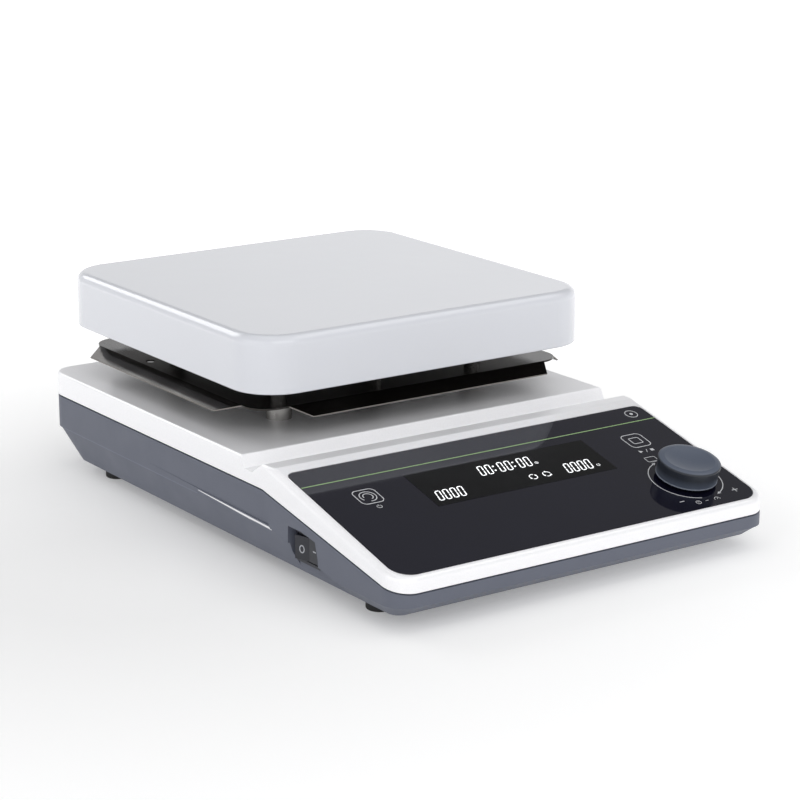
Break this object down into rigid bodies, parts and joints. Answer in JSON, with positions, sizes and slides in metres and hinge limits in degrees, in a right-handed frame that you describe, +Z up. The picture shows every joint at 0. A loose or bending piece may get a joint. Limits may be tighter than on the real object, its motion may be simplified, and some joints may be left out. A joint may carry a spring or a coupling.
{
  "type": "magnetic stirrer",
  "caption": "Bench magnetic stirrer with a square ceramic-coated plate on posts over a heat shield, sloping glass control panel, push-and-turn knob and side power rocker.",
  "frame": {"origin": "on the table, under the middle of the body", "axes": "+Z up, the control panel faces -Y, +X to the right of a person at the panel"},
  "size_m": [0.206, 0.308, 0.1004],
  "materials": {
    "housing_grey": "satin slate grey coat",
    "cover_white": "satin white coat",
    "accent_white": "white inlay",
    "foot_rubber": "matt black",
    "steel_fasteners": "plain",
    "plate_enamel": "glossy white ceramic coat",
    "mica": "mica and track",
    "insulation": "white fibre",
    "dark_sheet": "heat-darkened sheet",
    "polished_steel": "mirror-polished stainless",
    "post_steel": "turned",
    "bracket_steel": "zinc plated",
    "bronze": "sintered",
    "core_steel": "laminated",
    "magnet": "nickel plated",
    "carrier_aluminium": "turned",
    "black_glass": "black printed panel glass",
    "display": "dark display face",
    "board_green": "green board",
    "component_black": "moulded",
    "pad_copper": "copper",
    "knob_slate": "satin slate blue",
    "switch_black": "moulded black",
    "pin_brass": "plain",
    "fuse_glass": "glass tube with plated caps"
  },
  "bodies": {
    "base": {"lower_housing": "housing_grey", "top_cover": "cover_white", "accent_strips": "accent_white", "rubber_feet": "foot_rubber", "sensor_grommet": "foot_rubber", "lead_grommet": "foot_rubber", "housing_screws": "steel_fasteners", "plate_screws": "steel_fasteners", "bracket_screws": "steel_fasteners", "motor_screws": "steel_fasteners", "board_screws": "steel_fasteners", "supply_screws": "steel_fasteners", "top_plate": "plate_enamel", "heating_element": "mica", "insulation_pad": "insulation", "lead_sleeve": "insulation", "heater_cover": "dark_sheet", "heat_shield": "polished_steel", "temperature_sensor": "polished_steel", "deck_posts": "post_steel", "plate_posts": "post_steel", "motor_bracket": "bracket_steel", "motor_can": "bracket_steel", "motor_bearings": "bronze", "motor_stator": "core_steel", "board_standoffs": "carrier_aluminium", "glass_panel": "black_glass", "display_module": "display", "control_board": "board_green", "supply_board": "board_green", "board_chips": "component_black", "encoder_body": "component_black", "supply_parts": "component_black", "touch_pads": "pad_copper", "rocker_switch_body": "switch_black", "power_inlet": "switch_black", "inlet_pins": "pin_brass"},
    "stir_rotor": {"motor_rotor": "magnet", "motor_shaft": "post_steel", "magnet_carrier": "carrier_aluminium", "carrier_screw": "steel_fasteners", "drive_magnets": "magnet"},
    "encoder_push": {"encoder_plunger": "bronze"},
    "control_knob": {"encoder_shaft": "post_steel", "knob": "knob_slate"},
    "power_rocker": {"rocker_paddle": "switch_black"},
    "fuse_tray": {"fuse_drawer": "switch_black", "fuse_link": "fuse_glass"}
  },
  "joints": [
    {"name": "stir_spin", "type": "hinge", "parent": "base", "child": "stir_rotor", "pos_m": [0, 0.0592, 0], "axis": [0, 0, 1], "continuous": true},
    {"name": "knob_push", "type": "slide", "parent": "base", "child": "encoder_push", "axis": [0, -0.2482, 0.9687], "range_m": [-0.0005, 0], "stiffness_N_per_m": 2500, "springref_m": 0.001},
    {"name": "knob_turn", "type": "hinge", "parent": "encoder_push", "child": "control_knob", "pos_m": [0.07496, -0.12746, 0.0311], "axis": [0, -0.2482, 0.9687], "continuous": true},
    {"name": "power_rocker", "type": "hinge", "parent": "base", "child": "power_rocker", "pos_m": [-0.0974, -0.082, 0.018], "axis": [0, 0, 1], "range_deg": [-18, 0]},
    {"name": "fuse_tray_slide", "type": "slide", "parent": "base", "child": "fuse_tray", "axis": [0, 1, 0], "range_m": [0, 0.012]}
  ]
}
